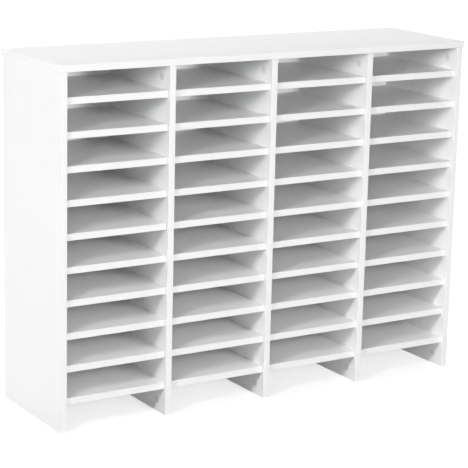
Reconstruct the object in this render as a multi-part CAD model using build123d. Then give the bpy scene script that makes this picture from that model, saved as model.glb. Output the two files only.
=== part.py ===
from build123d import *
import os

# A free-standing mail sorter of white faced board: five uprights, one top board, a back panel,
# and a shelf under every compartment. The bottom shelves are fixed. All other shelves lie loose on pins.
# X runs across the front, Y from front to back and Z up. The origin is on the floor, midway between
# the side panels' outer faces and midway between the uprights' front and rear edges.

# Driving dimensions, in millimetres
columns = 4  # columns of compartments, side by side
rows = 10  # compartments in each column
board = 16.0  # thickness of every upright, shelf and top board
column_clear = 256.5  # clear width of a compartment
row_clear = 60.5  # clear height of a compartment below the top row
top_row_clear = 56.5  # clear height of a compartment in the top row
foot_height = 63.0  # floor to the underside of the bottom shelves
depth = 300.0  # side panels and top board, front edge to rear edge
top_overhang = 5.0  # top board past each side panel's outer face
lip_radius = 1.0  # rounding of the lipped board edges

shelf_setback = 8.0  # shelf fronts behind the uprights' front edges
shelf_end_play = 0.5  # gap at each end of a loose shelf
shelf_rear_play = 2.0  # gap between a loose shelf and the back panel

back_thickness = 8.0  # back panel
back_inset = 3.0  # back panel's rear face in front of the side panels' rear edges
back_lap = 8.0  # width of the rebate in each side panel that the back panel lies in
back_play = 0.5  # gap at the back panel's ends and top edge

fastener_line = 37.0  # line of fasteners, from the uprights' front edge and from the rear edge
blind_floor = 5.0  # board left behind a blind hole in a face
hole_play = 0.1  # radial play of a cam, bolt, dowel, pin or screw in its hole
hole_end_play = 0.5  # room left at the bottom of a blind hole
cut_margin = 1.0  # how far a cutting shape runs past the face that it cuts

cam_radius = 7.5  # hole for a cam lock
cam_floor = 3.5  # board left behind a cam lock's hole
cam_from_end = 29.0  # cam lock's centre from the end of its board
cam_recess_length = 7.0  # cross recess for the screwdriver
cam_recess_width = 1.4
cam_recess_depth = 2.5

cap_rim = 1.0  # rim of the plastic cap over each cam lock in the uprights, past the lock's hole
cap_thickness = 1.0
cap_edge_radius = 0.6
cap_plug_play = 0.2  # between the cap's cross and the cam lock's recess

bolt_bore_radius = 4.0  # bore in a board's end, from the end to the cam lock
foot_bore_radius = 4.25  # bores in the lower ends, wider so that the sorter can be set over bolts
bolt_head_radius = 3.5
bolt_head_length = 3.0
bolt_neck_radius = 2.5
bolt_thread_radius = 2.5
bolt_head_play = 0.4  # room round the bolt's head and neck inside the cam lock

dowel_radius = 4.0
dowel_in_end = 22.0  # length of a dowel inside a board's end
dowel_from_line = 64.0  # dowels in the top joints, inwards from the fastener lines
dowel_chamfer = 0.8

pin_radius = 2.5  # shelf pin's shank
pin_ledge_width = 8.0  # ledge that the shelf lies on, along Y
pin_ledge_thickness = 2.0
pin_ledge_rise = 0.4  # ledge's top above the shank
pin_reach = 8.5  # ledge and shank, out of the upright's face
pin_meeting_gap = 1.0  # between the two pins that share a hole through a divider

screw_radius = 1.75  # countersunk screws that hold the back panel
screw_head_radius = 3.5
screw_length = 25.0
screw_tip_length = 4.0
screw_tip_radius = 0.4
screw_recess_length = 4.0
screw_recess_width = 0.9
screw_recess_depth = 1.2
screws_per_upright = 4
screw_end_distance = 60.0  # first and last screw from the back panel's lower and upper edge

# Places that follow from the driving dimensions
pitch = row_clear + board
column_step = column_clear + board
width_over_sides = columns * column_step + board
front = -depth / 2
rear = depth / 2
back_rear = rear - back_inset
back_face = back_rear - back_thickness
top_under = foot_height + board + (rows - 1) * pitch + top_row_clear
cam_depth = board - cam_floor
cap_radius = cam_radius + cap_rim
blind_depth = board - blind_floor
pin_shank = (board - pin_meeting_gap) / 2
pin_drop = pin_ledge_rise + pin_radius
screw_head_height = screw_head_radius - screw_radius
fastener_ys = (front + fastener_line, rear - fastener_line)
top_dowel_ys = (fastener_ys[0] + dowel_from_line, fastener_ys[1] - dowel_from_line)
bottom_dowel_y = (fastener_ys[0] + fastener_ys[1]) / 2
bottom_middle_z = foot_height + board / 2

X_AXIS = (1, 0, 0)
Z_AXIS = (0, 0, 1)


def upright_left(index):
    """X of an upright's left face. Upright 0 is the left side panel."""
    return -width_over_sides / 2 + index * column_step


def upright_middle(index):
    return upright_left(index) + board / 2


def upright_right(index):
    return upright_left(index) + board


def is_side(index):
    return index in (0, columns)


def cam_side(index):
    """The face that holds an upright's cam locks: 1 for its right face, -1 for its left face."""
    return 1 if index == 0 else -1


def cam_face_x(index):
    return upright_middle(index) + cam_side(index) * board / 2


def compartment_middle(column):
    return (upright_right(column) + upright_left(column + 1)) / 2


def shelf_under(row):
    """Z of the underside of the board below a compartment. Row 1 is at the top."""
    return foot_height + (rows - row) * pitch


def block(low, high):
    """A box from its lowest corner to its highest corner."""
    sizes = [b - a for a, b in zip(low, high)]
    return Solid.make_box(*sizes, Plane(low))


def rod(start, direction, radius, length):
    return Solid.make_cylinder(radius, length, Plane(start, z_dir=direction))


def along_x(sign):
    """The direction to the right for 1, and to the left for -1."""
    return (sign, 0, 0)


def shelf_board(low, high):
    """A board with its front edge lipped, so the front's upper and lower edges are rounded."""
    body = block(low, high)
    lipped = body.edges().filter_by(Axis.X).group_by(Axis.Y)[0]
    return fillet(lipped, lip_radius)


def back_screw_places():
    """(x, z) of each screw through the back panel, into the uprights and the bottom shelves."""
    low = foot_height + screw_end_distance
    rise = (top_under - screw_end_distance - low) / (screws_per_upright - 1)
    places = []
    for index in range(columns + 1):
        lap_shift = cam_side(index) * (board - back_lap) / 2 if is_side(index) else 0
        x = upright_middle(index) + lap_shift
        places += [(x, low + step * rise) for step in range(screws_per_upright)]
    return places + [(compartment_middle(column), bottom_middle_z) for column in range(columns)]


def screw_pilots(low_x, high_x):
    """Holes for the back panel's screws in the rear edge of a board between two X values."""
    length = screw_length - back_thickness + hole_end_play + cut_margin
    return [
        rod((x, back_face + cut_margin, z), (0, -1, 0), screw_radius + hole_play, length)
        for x, z in back_screw_places()
        if low_x < x < high_x
    ]


def upright_face_hole(index, y, z, radius):
    """A hole in an upright's face: right through a divider, and blind from a side panel's inner face."""
    if not is_side(index):
        return rod((upright_left(index) - cut_margin, y, z), X_AXIS, radius, board + 2 * cut_margin)
    side = cam_side(index)
    start = (cam_face_x(index) + side * cut_margin, y, z)
    return rod(start, along_x(-side), radius, blind_depth + cut_margin)


def upright_cam_holes(index):
    """The cam lock holes near both ends of an upright, and the bolt bores that lead to them."""
    side = cam_side(index)
    middle = upright_middle(index)
    cuts = []
    for y in fastener_ys:
        for end_z, into, bore_radius in ((0, 1, foot_bore_radius), (top_under, -1, bolt_bore_radius)):
            bore_start = (middle, y, end_z - into * cut_margin)
            cuts.append(rod(bore_start, (0, 0, into), bore_radius, cam_from_end + cut_margin))
            cam_start = (cam_face_x(index) + side * cut_margin, y, end_z + into * cam_from_end)
            cuts.append(rod(cam_start, along_x(-side), cam_radius, cam_depth + cut_margin))
    return cuts


def upright_shelf_holes(index):
    """Holes for the shelf pins, and for the bolts and dowels of the bottom shelves."""
    bolt_hole = bolt_thread_radius + hole_play if is_side(index) else bolt_bore_radius
    cuts = [upright_face_hole(index, bottom_dowel_y, bottom_middle_z, dowel_radius + hole_play)]
    for y in fastener_ys:
        cuts.append(upright_face_hole(index, y, bottom_middle_z, bolt_hole))
        for row in range(1, rows):
            pin_z = shelf_under(row) - pin_drop
            cuts.append(upright_face_hole(index, y, pin_z, pin_radius + hole_play))
    return cuts


def upright(index):
    """A side panel or a divider. It stands on the floor, and its front edge is lipped."""
    left, right = upright_left(index), upright_right(index)
    last_y = rear if is_side(index) else back_face
    body = block((left, front, 0), (right, last_y, top_under))
    body = fillet(body.edges().filter_by(Axis.Z).group_by(Axis.Y)[0], lip_radius)
    cuts = upright_cam_holes(index) + upright_shelf_holes(index) + screw_pilots(left, right)
    dowel_length = dowel_in_end + hole_end_play + cut_margin
    for y in top_dowel_ys:
        start = (upright_middle(index), y, top_under + cut_margin)
        cuts.append(rod(start, (0, 0, -1), dowel_radius + hole_play, dowel_length))
    if is_side(index):
        inner = cam_face_x(index)
        edges_x = sorted((inner - cam_side(index) * back_lap, inner + cam_side(index) * cut_margin))
        low = (edges_x[0], back_face, -cut_margin)
        high = (edges_x[1], rear + cut_margin, top_under + cut_margin)
        cuts.append(block(low, high))
    return body - cuts


def top_board():
    """The top, lipped on its front and both ends, with blind holes for the bolts and dowels below."""
    reach = width_over_sides / 2 + top_overhang
    body = block((-reach, front, top_under), (reach, rear, top_under + board))
    lipped = body.edges().filter_by(Axis.X).group_by(Axis.Y)[0]
    lipped += body.edges().filter_by(Axis.Y)
    lipped += body.edges().filter_by(Axis.Z).group_by(Axis.Y)[0]
    body = fillet(lipped, lip_radius)
    cuts = []
    for index in range(columns + 1):
        places = [(y, bolt_thread_radius + hole_play) for y in fastener_ys]
        places += [(y, dowel_radius + hole_play) for y in top_dowel_ys]
        for y, radius in places:
            start = (upright_middle(index), y, top_under - cut_margin)
            cuts.append(rod(start, Z_AXIS, radius, blind_depth + cut_margin))
    return body - cuts


def loose_shelf(column, row):
    low = (upright_right(column) + shelf_end_play, front + shelf_setback, shelf_under(row))
    high = (upright_left(column + 1) - shelf_end_play, back_face - shelf_rear_play, low[2] + board)
    return shelf_board(low, high)


def bottom_shelf(column):
    """A fixed shelf. Cam locks in its underside draw both ends against the uprights."""
    left, right = upright_right(column), upright_left(column + 1)
    low = (left, front + shelf_setback, foot_height)
    body = shelf_board(low, (right, back_face, foot_height + board))
    cuts = screw_pilots(left, right)
    for end_x, into in ((left, 1), (right, -1)):
        dowel_start = (end_x - into * cut_margin, bottom_dowel_y, bottom_middle_z)
        dowel_length = dowel_in_end + hole_end_play + cut_margin
        cuts.append(rod(dowel_start, along_x(into), dowel_radius + hole_play, dowel_length))
        for y in fastener_ys:
            bore_start = (end_x - into * cut_margin, y, bottom_middle_z)
            bore_length = cam_from_end + cut_margin
            cuts.append(rod(bore_start, along_x(into), bolt_bore_radius, bore_length))
            cam_start = (end_x + into * cam_from_end, y, foot_height - cut_margin)
            cuts.append(rod(cam_start, Z_AXIS, cam_radius, cam_depth + cut_margin))
    return body - cuts


def back_panel():
    """A thin panel in the side panels' rebates, from the bottom shelves' underside to the top board."""
    low = (upright_right(0) - back_lap + back_play, back_face, foot_height)
    high = (upright_left(columns) + back_lap - back_play, back_rear, top_under - back_play)
    cuts = []
    for x, z in back_screw_places():
        start = (x, back_face - cut_margin, z)
        cuts.append(rod(start, (0, 1, 0), screw_radius + hole_play, back_thickness + 2 * cut_margin))
        sink = Plane((x, back_rear, z), z_dir=(0, -1, 0))
        widest = screw_head_radius + hole_play
        cuts.append(Solid.make_cone(widest, screw_radius + hole_play, screw_head_height, sink))
    return block(low, high) - cuts


def cross(length, width, low_z, high_z):
    """Two crossed bars between two heights."""
    return [
        block((-a / 2, -b / 2, low_z), (a / 2, b / 2, high_z))
        for a, b in ((length, width), (width, length))
    ]


def cam_lock():
    """A cam lock with its face at Z = 0. The bolt's neck leaves along +X, and its head enters along -X."""
    radius = cam_radius - hole_play
    length = cam_depth - hole_end_play
    body = rod((0, 0, -length), Z_AXIS, radius, length)
    pocket_end = bolt_head_length / 2 + bolt_head_play
    entry_start = (-radius - cut_margin, 0, -board / 2)
    entry_length = radius + cut_margin + pocket_end
    entry = rod(entry_start, X_AXIS, bolt_head_radius + bolt_head_play, entry_length)
    neck_slot = rod((0, 0, -board / 2), X_AXIS, bolt_neck_radius + bolt_head_play, radius + cut_margin)
    recess = cross(cam_recess_length, cam_recess_width, -cam_recess_depth, cut_margin)
    return body - [entry, neck_slot] - recess


def cam_cap():
    """A cap whose flange lies on the board at Z = 0, held by a cross in the cam lock's recess."""
    flange = rod((0, 0, 0), Z_AXIS, cap_radius, cap_thickness)
    flange = fillet(flange.edges().group_by(Axis.Z)[-1], cap_edge_radius)
    plug_length = cam_recess_length - 2 * cap_plug_play
    plug_width = cam_recess_width - 2 * cap_plug_play
    plug = cross(plug_length, plug_width, cap_plug_play - cam_recess_depth, 0)
    return flange.fuse(*plug)


def stepped_rod(start, direction, sections):
    """One solid of round sections in a row, each given as (from, to, radius) along the direction."""
    pieces = []
    for begin, end, radius in sections:
        place = tuple(s + d * begin for s, d in zip(start, direction))
        pieces.append(rod(place, direction, radius, end - begin))
    return pieces[0].fuse(*pieces[1:])


def head_sections():
    """The head and neck of a bolt, from the cam lock's centre outwards."""
    half_head = bolt_head_length / 2
    neck_end = cam_radius + bolt_head_play
    return [(-half_head, half_head, bolt_head_radius), (half_head, neck_end, bolt_neck_radius)]


def face_bolt(start, direction):
    """A bolt screwed into a board's face, from a cam lock's centre."""
    thread_end = cam_from_end + blind_depth - hole_end_play
    sections = head_sections()
    sections.append((sections[-1][1], cam_from_end, bolt_bore_radius - hole_play))
    sections.append((cam_from_end, thread_end, bolt_thread_radius))
    return stepped_rod(start, direction, sections)


def double_bolt(start):
    """A bolt with two heads, through a divider, from the cam lock in one shelf to that in the next."""
    length = 2 * cam_from_end + board
    near = head_sections()
    far = [(length - end, length - begin, radius) for begin, end, radius in near]
    middle = (near[-1][1], far[-1][0], bolt_bore_radius - hole_play)
    return stepped_rod(start, X_AXIS, [*near, middle, *far])


def dowel(start, direction, length):
    body = rod(start, direction, dowel_radius, length)
    return chamfer(body.edges().filter_by(GeomType.CIRCLE), dowel_chamfer)


def shelf_pin():
    """A shelf pin that sticks out along +X from an upright's face at X = 0. The shelf lies at Z = 0."""
    shank = rod((-pin_shank, 0, -pin_drop), X_AXIS, pin_radius, pin_shank + pin_reach)
    half_width = pin_ledge_width / 2
    ledge = block((0, -half_width, -pin_ledge_thickness), (pin_reach, half_width, 0))
    return shank.fuse(ledge)


def back_screw():
    """A countersunk screw along -Z, with its head's face at Z = 0."""
    down = (0, 0, -1)
    shank_end = screw_length - screw_tip_length
    head = Solid.make_cone(screw_head_radius, screw_radius, screw_head_height, Plane((0, 0, 0), z_dir=down))
    shank_start = (0, 0, -screw_head_height)
    shank = rod(shank_start, down, screw_radius, shank_end - screw_head_height)
    tip_plane = Plane((0, 0, -shank_end), z_dir=down)
    tip = Solid.make_cone(screw_radius, screw_tip_radius, screw_tip_length, tip_plane)
    recess = cross(screw_recess_length, screw_recess_width, -screw_recess_depth, cut_margin)
    return head.fuse(shank, tip) - recess


def placed(body, origin, x_dir, z_dir):
    return body.moved(Plane(origin, x_dir=x_dir, z_dir=z_dir).location)


def at_upright_cams(body, end_z, into):
    """Copies of a body at the cam locks near one end of every upright."""
    return [
        placed(body, (cam_face_x(index), y, end_z + into * cam_from_end), Z_AXIS, along_x(cam_side(index)))
        for index in range(columns + 1)
        for y in fastener_ys
    ]


def top_bolts():
    cam_z = top_under - cam_from_end
    return [
        face_bolt((upright_middle(index), y, cam_z), Z_AXIS)
        for index in range(columns + 1)
        for y in fastener_ys
    ]


def top_dowels():
    length = dowel_in_end + blind_depth - hole_end_play
    return [
        dowel((upright_middle(index), y, top_under - dowel_in_end), Z_AXIS, length)
        for index in range(columns + 1)
        for y in top_dowel_ys
    ]


def bottom_cams():
    lock = cam_lock()
    cams = []
    for column in range(columns):
        for end_x, into in ((upright_right(column), 1), (upright_left(column + 1), -1)):
            for y in fastener_ys:
                origin = (end_x + into * cam_from_end, y, foot_height)
                cams.append(placed(lock, origin, along_x(-into), (0, 0, -1)))
    return cams


def bottom_side_bolts():
    bolts = []
    for y in fastener_ys:
        left_start = (upright_right(0) + cam_from_end, y, bottom_middle_z)
        right_start = (upright_left(columns) - cam_from_end, y, bottom_middle_z)
        bolts.append(face_bolt(left_start, along_x(-1)))
        bolts.append(face_bolt(right_start, along_x(1)))
    return bolts


def bottom_divider_bolts():
    return [
        double_bolt((upright_left(index) - cam_from_end, y, bottom_middle_z))
        for index in range(1, columns)
        for y in fastener_ys
    ]


def bottom_dowels():
    """One dowel at each upright. In a divider it runs through into the shelves on both sides."""
    side_length = dowel_in_end + blind_depth - hole_end_play
    through_length = 2 * dowel_in_end + board
    left_start = (upright_right(0) - side_length + dowel_in_end, bottom_dowel_y, bottom_middle_z)
    right_start = (upright_left(columns) - dowel_in_end, bottom_dowel_y, bottom_middle_z)
    dowels = [dowel(start, X_AXIS, side_length) for start in (left_start, right_start)]
    for index in range(1, columns):
        start = (upright_left(index) - dowel_in_end, bottom_dowel_y, bottom_middle_z)
        dowels.append(dowel(start, X_AXIS, through_length))
    return dowels


def shelf_pins():
    """Four pins under every loose shelf."""
    pin = shelf_pin()
    pins = []
    for column in range(columns):
        for face_x, out in ((upright_right(column), 1), (upright_left(column + 1), -1)):
            for row in range(1, rows):
                for y in fastener_ys:
                    pins.append(placed(pin, (face_x, y, shelf_under(row)), along_x(out), Z_AXIS))
    return pins


def back_screws():
    screw = back_screw()
    return [placed(screw, (x, back_rear, z), X_AXIS, (0, 1, 0)) for x, z in back_screw_places()]


def upright_name(index):
    if is_side(index):
        return "left_side_panel" if index == 0 else "right_side_panel"
    return f"divider_panel_{index}"


def all_pieces():
    """Every node by its name. A group of like fasteners is one node of separate solids."""
    pieces = {"top_board": top_board(), "back_panel": back_panel()}
    for index in range(columns + 1):
        pieces[upright_name(index)] = upright(index)
    for column in range(columns):
        pieces[f"bottom_shelf_{column + 1}"] = bottom_shelf(column)
        for row in range(1, rows):
            pieces[f"shelf_{column + 1}_{row}"] = loose_shelf(column, row)
    groups = {
        "shelf_pins": shelf_pins(),
        "top_cam_locks": at_upright_cams(cam_lock(), top_under, -1),
        "top_cam_caps": at_upright_cams(cam_cap(), top_under, -1),
        "top_cam_bolts": top_bolts(),
        "top_dowels": top_dowels(),
        "foot_cam_locks": at_upright_cams(cam_lock(), 0, 1),
        "foot_cam_caps": at_upright_cams(cam_cap(), 0, 1),
        "bottom_cam_locks": bottom_cams(),
        "bottom_side_bolts": bottom_side_bolts(),
        "bottom_divider_bolts": bottom_divider_bolts(),
        "bottom_dowels": bottom_dowels(),
        "back_panel_screws": back_screws(),
    }
    for name, solids in groups.items():
        pieces[name] = Compound([solid for piece in solids for solid in piece.solids()])
    return pieces


os.makedirs("parts", exist_ok=True)
for name, piece in all_pieces().items():
    export_step(piece, f"parts/{name}.step")
overall = (width_over_sides + 2 * top_overhang, depth, top_under + board)
print("sorter of {:.1f} x {:.1f} x {:.1f} mm".format(*overall))
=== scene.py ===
# %% [markdown]
# # A white mail sorter, dressed on its CAD frame
# The sorter is a cabinet of white faced chipboard: five uprights, a top, a back, and a shelf under each of
# forty open compartments. The solids come from the CAD model at their true size. This lesson gives them the
# finishes of the real boards and fittings, and then sets up a floor, soft lamps and a camera.

import math

import bpy
from mathutils import Matrix, Vector


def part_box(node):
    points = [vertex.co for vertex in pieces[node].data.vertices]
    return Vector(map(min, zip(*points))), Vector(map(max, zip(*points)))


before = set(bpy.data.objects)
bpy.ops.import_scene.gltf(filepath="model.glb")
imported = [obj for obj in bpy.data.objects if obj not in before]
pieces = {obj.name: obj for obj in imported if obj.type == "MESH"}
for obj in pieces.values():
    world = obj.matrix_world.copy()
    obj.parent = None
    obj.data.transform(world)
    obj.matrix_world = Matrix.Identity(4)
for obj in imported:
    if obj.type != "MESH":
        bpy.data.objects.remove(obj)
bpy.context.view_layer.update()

# %% [markdown]
# ## Sorting the pieces
# Every board is sawn from the same white sheet, but boards stand different ways: the faces of an upright look
# left and right, and those of a shelf or the top look up and down. A finish that knows this can be white on
# the faces and show the brown core on a sawn edge. The pieces could be picked by hand, but there are dozens,
# and the names from the CAD model already say what each one is.

# %% Sort the pieces by their names
uprights = [name for name in pieces if name.endswith("side_panel") or name.startswith("divider_panel")]
shelves = [name for name in pieces if name.startswith(("shelf_", "bottom_shelf_")) and name != "shelf_pins"]
cam_locks = [name for name in pieces if name.endswith("cam_locks")]
cam_caps = [name for name in pieces if name.endswith("cam_caps")]
steel_fittings = [name for name in pieces if name.endswith(("_pins", "_bolts", "_screws"))]
dowels = [name for name in pieces if name.endswith("dowels")]
print(len(uprights), "uprights,", len(shelves), "shelves,", len(cam_locks), "groups of cam locks,")
print(len(cam_caps), "groups of caps,", len(steel_fittings), "of steel fittings,", len(dowels), "of dowels")

# %% [markdown]
# ## Tools for the finishes
# Colours are written as a screen shows them, in sRGB hex, and Cycles works in linear light, so one function
# turns the first into the second. Another adds a shader node with its settings and fills or links its inputs,
# so that each finish below reads as a list of what the surface is made of. Nodes could be drawn by hand in
# the shader editor, but in code the sizes behind each pattern stay in plain sight.

# %% Colour and node helpers
MM = 0.001


def linear(hex_colour):
    values = [int(hex_colour[i : i + 2], 16) / 255 for i in (1, 3, 5)]
    return (*[v / 12.92 if v <= 0.04045 else ((v + 0.055) / 1.055) ** 2.4 for v in values], 1.0)


def add_node(tree, kind, inputs=None, **settings):
    """Adds a shader node. Inputs go by name or number, and each is a value or a socket to link."""
    node = tree.nodes.new(kind)
    for name, value in settings.items():
        setattr(node, name, value)
    for name, value in (inputs or {}).items():
        if isinstance(value, bpy.types.NodeSocket):
            tree.links.new(value, node.inputs[name])
        else:
            node.inputs[name].default_value = value
    return node


# %% Material helpers
def new_finish(name):
    """An empty node material: its tree, its shader, and the place of each point on the piece in metres."""
    material = bpy.data.materials.new(name)
    material.use_nodes = True
    tree = material.node_tree
    place = add_node(tree, "ShaderNodeTexCoord").outputs["Object"]
    return material, tree, tree.nodes["Principled BSDF"], place


def give_finish(names, material):
    for name in names:
        for slot in pieces[name].material_slots:
            slot.material = material
    print(material.name, "on", len(names), "nodes")


# %% [markdown]
# ## White melamine on chipboard
# The boards are chipboard with paper faces, soaked in melamine resin and pressed against a finely grained
# steel plate. That gives a hard, even white with a satin sheen. Front edges carry a glued strip of white
# plastic, one millimetre thick, and edges that nobody sees stay bare. These could be separate materials on
# separate faces. One material that looks at the surface normal does the same on the CAD mesh as it is,
# because a face and an edge of a board never point the same way.

# %% Where a board is white, and how far a point is from a lipped edge
LIP = 1.0 * MM
# How squarely a surface must look along the faces, or out of an edge, to count as a face or as that edge
FACE_TURN, EDGE_TURN = 0.5, 0.3


def white_skin(tree, normal, face_axis, lipped_ends):
    """1 on a board's faces and lipped edges, and 0 on its bare edges and inside its holes."""
    way = add_node(tree, "ShaderNodeSeparateXYZ", {0: normal}).outputs
    flat = add_node(tree, "ShaderNodeMath", {0: way[face_axis]}, operation="ABSOLUTE").outputs[0]
    skin = add_node(tree, "ShaderNodeMath", {0: flat, 1: FACE_TURN}, operation="GREATER_THAN").outputs[0]
    front = add_node(tree, "ShaderNodeMath", {0: way["Y"], 1: -EDGE_TURN}, operation="LESS_THAN").outputs[0]
    skin = add_node(tree, "ShaderNodeMath", {0: skin, 1: front}, operation="MAXIMUM").outputs[0]
    if lipped_ends:
        side = add_node(tree, "ShaderNodeMath", {0: way["X"]}, operation="ABSOLUTE").outputs[0]
        end = add_node(tree, "ShaderNodeMath", {0: side, 1: EDGE_TURN}, operation="GREATER_THAN").outputs[0]
        skin = add_node(tree, "ShaderNodeMath", {0: skin, 1: end}, operation="MAXIMUM").outputs[0]
    return skin


def behind_lip(tree, place, front_y, end_x):
    """How far a point lies behind the front edge, or behind a lipped end where that is nearer."""
    spot = add_node(tree, "ShaderNodeSeparateXYZ", {0: place}).outputs
    depth = add_node(tree, "ShaderNodeMath", {0: spot["Y"], 1: front_y}, operation="SUBTRACT").outputs[0]
    if end_x:
        side = add_node(tree, "ShaderNodeMath", {0: spot["X"]}, operation="ABSOLUTE").outputs[0]
        inside = add_node(tree, "ShaderNodeMath", {0: end_x, 1: side}, operation="SUBTRACT").outputs[0]
        depth = add_node(tree, "ShaderNodeMath", {0: depth, 1: inside}, operation="MINIMUM").outputs[0]
    return depth


print("lip strip", LIP / MM, "mm thick")

# %% [markdown]
# ## The white
# Melamine paper is a neutral white with the least unevenness, in clouds a few centimetres wide. The plastic
# strip on the edges is a shade off it, and a hairline of glue runs between the two. A flat colour would look
# like card: it is these faint steps that tell the eye that a strip was put on a board.

# %% Face, strip and glue line
FACE_LIGHT, FACE_SHADE, STRIP_WHITE, GLUE_GREY = "#F7F7F7", "#F4F4F4", "#F5F5F5", "#DCDBD9"
CLOUD_SIZE = 40 * MM
# The glue line is 0.1 mm wide on the board and is drawn at 0.3 mm, so that it shows at all
GLUE_LINE = 0.3 * MM


def white_colour(tree, place, depth):
    clouds = add_node(tree, "ShaderNodeTexNoise", {"Vector": place, "Scale": 1 / CLOUD_SIZE, "Detail": 2.0})
    tones = {0: clouds.outputs["Fac"], 6: linear(FACE_SHADE), 7: linear(FACE_LIGHT)}
    face = add_node(tree, "ShaderNodeMix", tones, data_type="RGBA").outputs[2]
    strip = add_node(tree, "ShaderNodeMath", {0: depth, 1: LIP}, operation="LESS_THAN").outputs[0]
    edged = {0: strip, 6: face, 7: linear(STRIP_WHITE)}
    edged = add_node(tree, "ShaderNodeMix", edged, data_type="RGBA").outputs[2]
    near_glue = {0: depth, 1: LIP, 2: GLUE_LINE / 2}
    glue = add_node(tree, "ShaderNodeMath", near_glue, operation="COMPARE").outputs[0]
    glued = {0: glue, 6: edged, 7: linear(GLUE_GREY)}
    return add_node(tree, "ShaderNodeMix", glued, data_type="RGBA").outputs[2]


print("face from", FACE_SHADE, "to", FACE_LIGHT, "with strip", STRIP_WHITE)

# %% [markdown]
# ## Bare chipboard
# Sawn chipboard is pressed from chips about three millimetres long, in browns that change from chip to chip.
# It shows on the rear edges, at the shelves' ends and under the uprights. A Voronoi pattern gives each cell
# one tone of its own, as a chip has, where a smooth noise would look like cork.

# %% Pressed chips
CHIP_DARK, CHIP_MIDDLE, CHIP_LIGHT = "#8A6A48", "#BE9C74", "#DCC5A2"
CHIP_SIZE, MIDDLE_TONE = 3 * MM, 0.45


def pressed_chips(tree, place):
    """The colour of the chips, and a height that falls to the gaps between them."""
    cells = add_node(tree, "ShaderNodeTexVoronoi", {"Vector": place, "Scale": 1 / CHIP_SIZE})
    tone = add_node(tree, "ShaderNodeSeparateColor", {0: cells.outputs["Color"]}).outputs["Red"]
    browns = add_node(tree, "ShaderNodeValToRGB", {"Fac": tone})
    ramp = browns.color_ramp.elements
    ramp[0].color, ramp[1].color = linear(CHIP_DARK), linear(CHIP_LIGHT)
    ramp.new(MIDDLE_TONE).color = linear(CHIP_MIDDLE)
    return browns.outputs["Color"], cells.outputs["Distance"]


print("chips", CHIP_SIZE / MM, "mm long")

# %% [markdown]
# ## Satin and pearl
# The press plate leaves a fine pearl in the resin, which breaks up the shine of a lamp. Sheets that slide in
# and out polish the satin in streaks along the depth. The first is height, so it goes into a bump. The second
# is shine, so it goes into the roughness, and both stay faint, as on a board that has been used with care.

# %% Sheen and skin of a board
PEARL_SIZE, STREAK_WIDTH, STREAK_LENGTH = 0.8 * MM, 6 * MM, 120 * MM
SATIN_SMOOTH, SATIN_DULL, BARE_ROUGH = 0.36, 0.48, 0.9
PEARL_HEIGHT, CHIP_DEPTH, SKIN_BUMP = 0.04, 0.1 * MM, 0.6


def board_sheen(tree, place, skin):
    """The roughness: satin with streaks on the white skin, and dull where the chips are bare."""
    along_depth = (1 / STREAK_WIDTH, 1 / STREAK_LENGTH, 1 / STREAK_WIDTH)
    drawn_out = add_node(tree, "ShaderNodeMapping", {"Vector": place, "Scale": along_depth}).outputs[0]
    streaks = add_node(tree, "ShaderNodeTexNoise", {"Vector": drawn_out, "Scale": 1.0, "Detail": 3.0})
    satin_range = {"Value": streaks.outputs["Fac"], "To Min": SATIN_SMOOTH, "To Max": SATIN_DULL}
    satin = add_node(tree, "ShaderNodeMapRange", satin_range).outputs[0]
    return add_node(tree, "ShaderNodeMix", {0: skin, 2: BARE_ROUGH, 3: satin}).outputs[0]


def board_skin(tree, place, skin, chip_height):
    """The bump: pearl on the white skin, and chips a tenth of a millimetre deep on a bare edge."""
    pearl = add_node(tree, "ShaderNodeTexNoise", {"Vector": place, "Scale": 1 / PEARL_SIZE, "Detail": 1.0})
    faint = {0: pearl.outputs["Fac"], 1: PEARL_HEIGHT}
    faint = add_node(tree, "ShaderNodeMath", faint, operation="MULTIPLY").outputs[0]
    height = add_node(tree, "ShaderNodeMix", {0: skin, 2: chip_height, 3: faint}).outputs[0]
    relief = {"Height": height, "Strength": SKIN_BUMP, "Distance": CHIP_DEPTH}
    return add_node(tree, "ShaderNodeBump", relief).outputs["Normal"]


print("pearl", PEARL_SIZE / MM, "mm, streaks", STREAK_WIDTH / MM, "by", STREAK_LENGTH / MM, "mm")

# %% [markdown]
# ## Facing the boards
# The pieces of the finish now come together. What differs between the boards is the direction of their faces
# and the place of their lipped edges, so the same recipe makes one material for the uprights, one for the
# shelves, one for the top, whose ends are lipped too, and one for the thin back.

# %% White melamine-faced chipboard
def faced_board(name, face_axis, front_y, end_x=None):
    material, tree, shader, place = new_finish(name)
    normal = add_node(tree, "ShaderNodeNewGeometry").outputs["True Normal"]
    skin = white_skin(tree, normal, face_axis, end_x is not None)
    chip_colour, chip_height = pressed_chips(tree, place)
    white = white_colour(tree, place, behind_lip(tree, place, front_y, end_x))
    colour = {0: skin, 6: chip_colour, 7: white}
    colour = add_node(tree, "ShaderNodeMix", colour, data_type="RGBA").outputs[2]
    tree.links.new(colour, shader.inputs["Base Color"])
    tree.links.new(board_sheen(tree, place, skin), shader.inputs["Roughness"])
    tree.links.new(board_skin(tree, place, skin, chip_height), shader.inputs["Normal"])
    return material


upright_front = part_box("left_side_panel")[0].y
shelf_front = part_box("bottom_shelf_1")[0].y
top_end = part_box("top_board")[1].x
give_finish(uprights, faced_board("melamine_faced_upright", "X", upright_front))
give_finish(shelves, faced_board("melamine_faced_shelf", "Z", shelf_front))
give_finish(["top_board"], faced_board("melamine_faced_top", "Z", upright_front, top_end))
give_finish(["back_panel"], faced_board("melamine_faced_back", "Y", upright_front))

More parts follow.
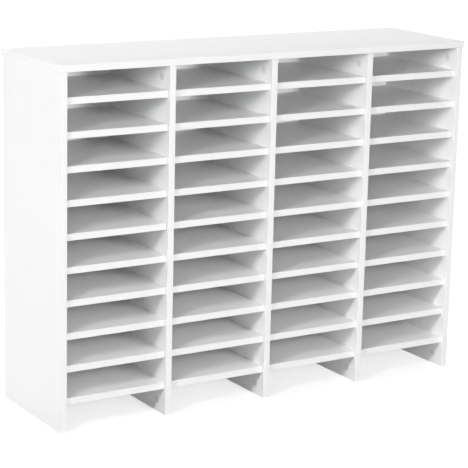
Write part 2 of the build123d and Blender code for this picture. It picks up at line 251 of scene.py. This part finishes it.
# %% [markdown]
# ## Moulded caps
# Plastic caps cover the cam locks near the ends of the uprights. They are moulded polypropylene: a greyer
# white than the board, a little smoother, with the fine even grain of a spark-eroded mould. Their grey also
# holds painted shade, which darkens each cap into a faint shaded disc. On the wall of a compartment they show
# only as a faint disc, so the finish must stay close to the board's.

# %% Moulded white polypropylene
# Both cap greys are the plastic's own greyer white with painted shade added, which darkens each cap into a
# shaded disc
CAP_GREY_AND_SHADE_DARK, CAP_GREY_AND_SHADE_LIGHT, POLYPROPYLENE_IOR = "#DADAD8", "#E0E0DE", 1.49
FLOW_SIZE, CAP_SMOOTH, CAP_DULL = 6 * MM, 0.3, 0.38
GRAIN_SIZE, GRAIN_DEPTH, GRAIN_BUMP = 0.5 * MM, 0.02 * MM, 0.3


def moulded_polypropylene():
    material, tree, shader, place = new_finish("moulded_polypropylene_with_painted_shade")
    flow = add_node(tree, "ShaderNodeTexNoise", {"Vector": place, "Scale": 1 / FLOW_SIZE, "Detail": 1.0})
    # The cap colour: two greys that carry painted shade, mixed at random by the flow clouds
    white = {0: flow.outputs["Fac"], 6: linear(CAP_GREY_AND_SHADE_DARK), 7: linear(CAP_GREY_AND_SHADE_LIGHT)}
    white = add_node(tree, "ShaderNodeMix", white, data_type="RGBA").outputs[2]
    tree.links.new(white, shader.inputs["Base Color"])
    soft = {"Value": flow.outputs["Fac"], "To Min": CAP_SMOOTH, "To Max": CAP_DULL}
    tree.links.new(add_node(tree, "ShaderNodeMapRange", soft).outputs[0], shader.inputs["Roughness"])
    grain = add_node(tree, "ShaderNodeTexNoise", {"Vector": place, "Scale": 1 / GRAIN_SIZE, "Detail": 1.0})
    relief = {"Height": grain.outputs["Fac"], "Strength": GRAIN_BUMP, "Distance": GRAIN_DEPTH}
    tree.links.new(add_node(tree, "ShaderNodeBump", relief).outputs["Normal"], shader.inputs["Normal"])
    shader.inputs["IOR"].default_value = POLYPROPYLENE_IOR
    return material


give_finish(cam_caps, moulded_polypropylene())

# %% [markdown]
# ## Cast zinc
# The cam locks under the caps and under the bottom shelves are die-cast zinc, tumbled but not polished.
# Against white board a dull metal looks dark, because it mirrors the shaded parts around it. Small blotches
# a few millimetres across and a pitted skin tell cast metal from turned metal.

# %% Tumbled cast zinc
ZINC_DARK, ZINC_LIGHT = "#85878A", "#ABADAF"
BLOTCH_SIZE, ZINC_SMOOTH, ZINC_DULL = 3 * MM, 0.42, 0.6
PIT_SIZE, PIT_DEPTH, PIT_BUMP = 0.5 * MM, 0.05 * MM, 0.4


def cast_zinc():
    material, tree, shader, place = new_finish("tumbled_cast_zinc")
    blotch = add_node(tree, "ShaderNodeTexNoise", {"Vector": place, "Scale": 1 / BLOTCH_SIZE, "Detail": 3.0})
    grey = {0: blotch.outputs["Fac"], 6: linear(ZINC_DARK), 7: linear(ZINC_LIGHT)}
    grey = add_node(tree, "ShaderNodeMix", grey, data_type="RGBA").outputs[2]
    tree.links.new(grey, shader.inputs["Base Color"])
    shader.inputs["Metallic"].default_value = 1.0
    dull = {"Value": blotch.outputs["Fac"], "To Min": ZINC_SMOOTH, "To Max": ZINC_DULL}
    tree.links.new(add_node(tree, "ShaderNodeMapRange", dull).outputs[0], shader.inputs["Roughness"])
    pits = add_node(tree, "ShaderNodeTexNoise", {"Vector": place, "Scale": 1 / PIT_SIZE, "Detail": 2.0})
    relief = {"Height": pits.outputs["Fac"], "Strength": PIT_BUMP, "Distance": PIT_DEPTH}
    tree.links.new(add_node(tree, "ShaderNodeBump", relief).outputs["Normal"], shader.inputs["Normal"])
    return material


give_finish(cam_locks, cast_zinc())

# %% [markdown]
# ## Zinc-plated steel
# Shelf pins, bolts and screws are plain steel with a thin bright plating. Plating in a turning barrel leaves
# tiny knocks and a faint cloudiness, so the roughness wanders a little from spot to spot. An even mirror
# would look like chrome, which such fittings never have.

# %% Barrel-plated steel
PLATING_DARK, PLATING_LIGHT = "#AEB0B3", "#CDCFD1"
HAZE_SIZE, PLATING_SMOOTH, PLATING_DULL = 2 * MM, 0.24, 0.4
KNOCK_SIZE, KNOCK_DEPTH, KNOCK_BUMP = 1.2 * MM, 0.03 * MM, 0.15


def plated_steel():
    material, tree, shader, place = new_finish("barrel_plated_steel")
    haze = add_node(tree, "ShaderNodeTexNoise", {"Vector": place, "Scale": 1 / HAZE_SIZE, "Detail": 2.0})
    silver = {0: haze.outputs["Fac"], 6: linear(PLATING_DARK), 7: linear(PLATING_LIGHT)}
    silver = add_node(tree, "ShaderNodeMix", silver, data_type="RGBA").outputs[2]
    tree.links.new(silver, shader.inputs["Base Color"])
    shader.inputs["Metallic"].default_value = 1.0
    bright = {"Value": haze.outputs["Fac"], "To Min": PLATING_SMOOTH, "To Max": PLATING_DULL}
    tree.links.new(add_node(tree, "ShaderNodeMapRange", bright).outputs[0], shader.inputs["Roughness"])
    knocks = add_node(tree, "ShaderNodeTexVoronoi", {"Vector": place, "Scale": 1 / KNOCK_SIZE})
    relief = {"Height": knocks.outputs["Distance"], "Strength": KNOCK_BUMP, "Distance": KNOCK_DEPTH}
    tree.links.new(add_node(tree, "ShaderNodeBump", relief).outputs["Normal"], shader.inputs["Normal"])
    return material


give_finish(steel_fittings, plated_steel())

# %% [markdown]
# ## Turned beech
# The dowels are beech, left raw. Beech has short dark flecks about two millimetres long on an even pinkish
# tan, which is how it is told from other pale woods even on a piece this small.

# %% Raw beech
BEECH_SHADE, BEECH_LIGHT, FLECK_BROWN, BEECH_ROUGH = "#C79E74", "#D8B48C", "#A67B52", 0.75
# A fleck fills the middle of its cell, out to this share of the cell's size
FLECK_SIZE, FLECK_SHARE = 2 * MM, 0.22
WOOD_GRAIN, WOOD_RELIEF, WOOD_BUMP = 4 * MM, 0.05 * MM, 0.3


def raw_beech():
    material, tree, shader, place = new_finish("turned_raw_beech")
    grain = add_node(tree, "ShaderNodeTexNoise", {"Vector": place, "Scale": 1 / WOOD_GRAIN, "Detail": 3.0})
    tan = {0: grain.outputs["Fac"], 6: linear(BEECH_SHADE), 7: linear(BEECH_LIGHT)}
    tan = add_node(tree, "ShaderNodeMix", tan, data_type="RGBA").outputs[2]
    cells = add_node(tree, "ShaderNodeTexVoronoi", {"Vector": place, "Scale": 1 / FLECK_SIZE})
    fleck = {0: cells.outputs["Distance"], 1: FLECK_SHARE}
    fleck = add_node(tree, "ShaderNodeMath", fleck, operation="LESS_THAN").outputs[0]
    flecked = {0: fleck, 6: tan, 7: linear(FLECK_BROWN)}
    flecked = add_node(tree, "ShaderNodeMix", flecked, data_type="RGBA").outputs[2]
    tree.links.new(flecked, shader.inputs["Base Color"])
    shader.inputs["Roughness"].default_value = BEECH_ROUGH
    relief = {"Height": grain.outputs["Fac"], "Strength": WOOD_BUMP, "Distance": WOOD_RELIEF}
    tree.links.new(add_node(tree, "ShaderNodeBump", relief).outputs["Normal"], shader.inputs["Normal"])
    return material


give_finish(dowels, raw_beech())

# %% [markdown]
# ## Floor and room
# A catalogue picture stands its object on a white sweep that is lit until it reads as pure white. Lighting
# the floor that hard would burn out the white boards too. So the floor is a pale matt surface that glows for
# the eye alone, more so far away, where little lamp light falls. It still takes the sorter's soft shadow, and
# it still throws plain light back up.

# %% What the camera sees straight, in a mirror or through glass
def seen_by_eye(tree):
    """1 on such rays, and 0 on light that only bounces about."""
    path = add_node(tree, "ShaderNodeLightPath").outputs
    mirror = {0: path["Is Glossy Ray"], 1: path["Is Transmission Ray"]}
    mirror = add_node(tree, "ShaderNodeMath", mirror, operation="MAXIMUM").outputs[0]
    either = {0: path["Is Camera Ray"], 1: mirror}
    return add_node(tree, "ShaderNodeMath", either, operation="MAXIMUM").outputs[0]


# %% A matt white floor that keeps the shadow
WHITE, PAPER_GREY, PAPER_ROUGH, FLOOR_SIZE = "#FFFFFF", "#B4B4B4", 0.9, 60
NEAR_GLOW, FAR_GLOW, NEAR_EDGE, FAR_EDGE = 0.66, 1.0, 0.8, 3.0
bpy.ops.object.select_all(action="DESELECT")
bpy.ops.mesh.primitive_plane_add(size=FLOOR_SIZE, location=(0, 0, 0))
floor = bpy.context.object
floor.name = "studio_floor"
material, tree, shader, place = new_finish("matt_white_paper_sweep")
floor.data.materials.append(material)
shader.inputs["Base Color"].default_value = linear(PAPER_GREY)
shader.inputs["Roughness"].default_value = PAPER_ROUGH
shader.inputs["Emission Color"].default_value = linear(WHITE)
away = add_node(tree, "ShaderNodeVectorMath", {0: place}, operation="LENGTH").outputs["Value"]
spread = {"Value": away, "From Min": NEAR_EDGE, "From Max": FAR_EDGE, "To Min": NEAR_GLOW, "To Max": FAR_GLOW}
spread = add_node(tree, "ShaderNodeMapRange", spread, interpolation_type="SMOOTHSTEP").outputs[0]
glow = {0: seen_by_eye(tree), 1: spread}
glow = add_node(tree, "ShaderNodeMath", glow, operation="MULTIPLY").outputs[0]
tree.links.new(glow, shader.inputs["Emission Strength"])
print("floor", tuple(floor.dimensions), "m")

# %% A white room
ROOM_LIGHT = 0.06
room = bpy.data.worlds.new("white_room")
bpy.context.scene.world = room
room.use_nodes = True
tree = room.node_tree
tree.nodes.clear()
level = {0: seen_by_eye(tree), 1: ROOM_LIGHT}
level = add_node(tree, "ShaderNodeMath", level, operation="MAXIMUM").outputs[0]
sky = add_node(tree, "ShaderNodeBackground", {"Color": linear(WHITE), "Strength": level})
add_node(tree, "ShaderNodeOutputWorld", {"Surface": sky.outputs[0]})
print("room light", ROOM_LIGHT)

# %% [markdown]
# ## Lamps
# In the photograph the outside of the sorter is evenly bright: the left side is nearly white, and the top is
# a shade darker. So a broad lamp stands at each side, behind the line of the front edges, and one stands high
# up behind. Discs are used, because a round lamp gives the evenest soft edge.

# %% Soft lamps for the sides and the top
SORTER_MIDDLE = Vector((0, 0, 0.45))


def soft_lamp(name, place, size, power):
    bpy.ops.object.light_add(type="AREA", location=place)
    lamp = bpy.context.object
    lamp.name = name
    to_sorter = SORTER_MIDDLE - Vector(place)
    lamp.rotation_euler = to_sorter.to_track_quat("-Z", "Y").to_euler()
    lamp.data.shape = "DISK"
    lamp.data.size = size
    lamp.data.energy = power
    lamp.visible_camera = False
    print(name, "at", place, "m,", power, "W")
    return lamp


soft_lamp("side_right", (3.0, 0.3, 1.1), 1.0, 36)
soft_lamp("side_left", (-3.0, 0.4, 1.0), 1.0, 22)
soft_lamp("behind_above", (0, 2.0, 3.9), 0.9, 89)

# %% [markdown]
# ## Lamps in front
# Each wall that looks left is bright at the front, and the light reaches deeper into the upper rows than
# into the lower ones. That fan says that the main lamp stood close, at the left. A strip of the back panel is
# bright at the left of each column, so a small lamp stood at the front right, as high as the top rows, and a
# broad one at the front left fills the depth. Yet the front edges have nearly one tone from end to end, where
# close lamps would fade across a metre. In a studio, reflectors on the far side do that. Here these lamps are
# told not to fade with distance, which keeps the fan and needs no further lamp.

# %% Lamps with an even reach
front_lamps = [
    soft_lamp("key_left", (-1.75, -0.95, 1.26), 0.5, 5.0),
    soft_lamp("front_left", (-1.6, -3.5, 1.55), 0.9, 2.25),
    soft_lamp("front_right", (0.33, -2.44, 1.0), 0.45, 3.7),
]
for lamp in front_lamps:
    lamp.data.use_nodes = True
    tree = lamp.data.node_tree
    reach = add_node(tree, "ShaderNodeLightFalloff", {"Strength": 1.0}).outputs["Constant"]
    tree.links.new(reach, tree.nodes["Emission"].inputs["Strength"])

# %% [markdown]
# ## Camera
# The view was found by fitting a camera to the edges and corners in the photograph: it looks from the front
# left and a little above, from about four metres away, and is tilted slightly on its own axis. Its turn is
# built from three unit vectors, because a tilt is then one plain step and no angle needs a sign of its own.

# %% The photograph's camera
AZIMUTH, ELEVATION, TILT = math.radians(-32.03), math.radians(13.36), math.radians(1.36)
DISTANCE, AIM = 4.2338, Vector((-0.1022, -0.150, 0.4185))
LENS, SENSOR = 139.10, 36.0
level_way = Vector((-math.sin(AZIMUTH), math.cos(AZIMUTH), 0))
forward = level_way * math.cos(ELEVATION) - Vector((0, 0, math.sin(ELEVATION)))
level_right = forward.cross(Vector((0, 0, 1))).normalized()
level_up = level_right.cross(forward)
right = math.cos(TILT) * level_right + math.sin(TILT) * level_up
up = math.cos(TILT) * level_up - math.sin(TILT) * level_right
bpy.ops.object.camera_add()
camera = bpy.context.object
turn = Matrix((right, up, -forward)).transposed()
camera.matrix_world = Matrix.Translation(AIM - forward * DISTANCE) @ turn.to_4x4()
camera.data.lens = LENS
camera.data.sensor_width = SENSOR
bpy.context.scene.camera = camera
bpy.context.scene.view_settings.view_transform = "Standard"
print("camera at", [round(v, 3) for v in camera.matrix_world.translation])
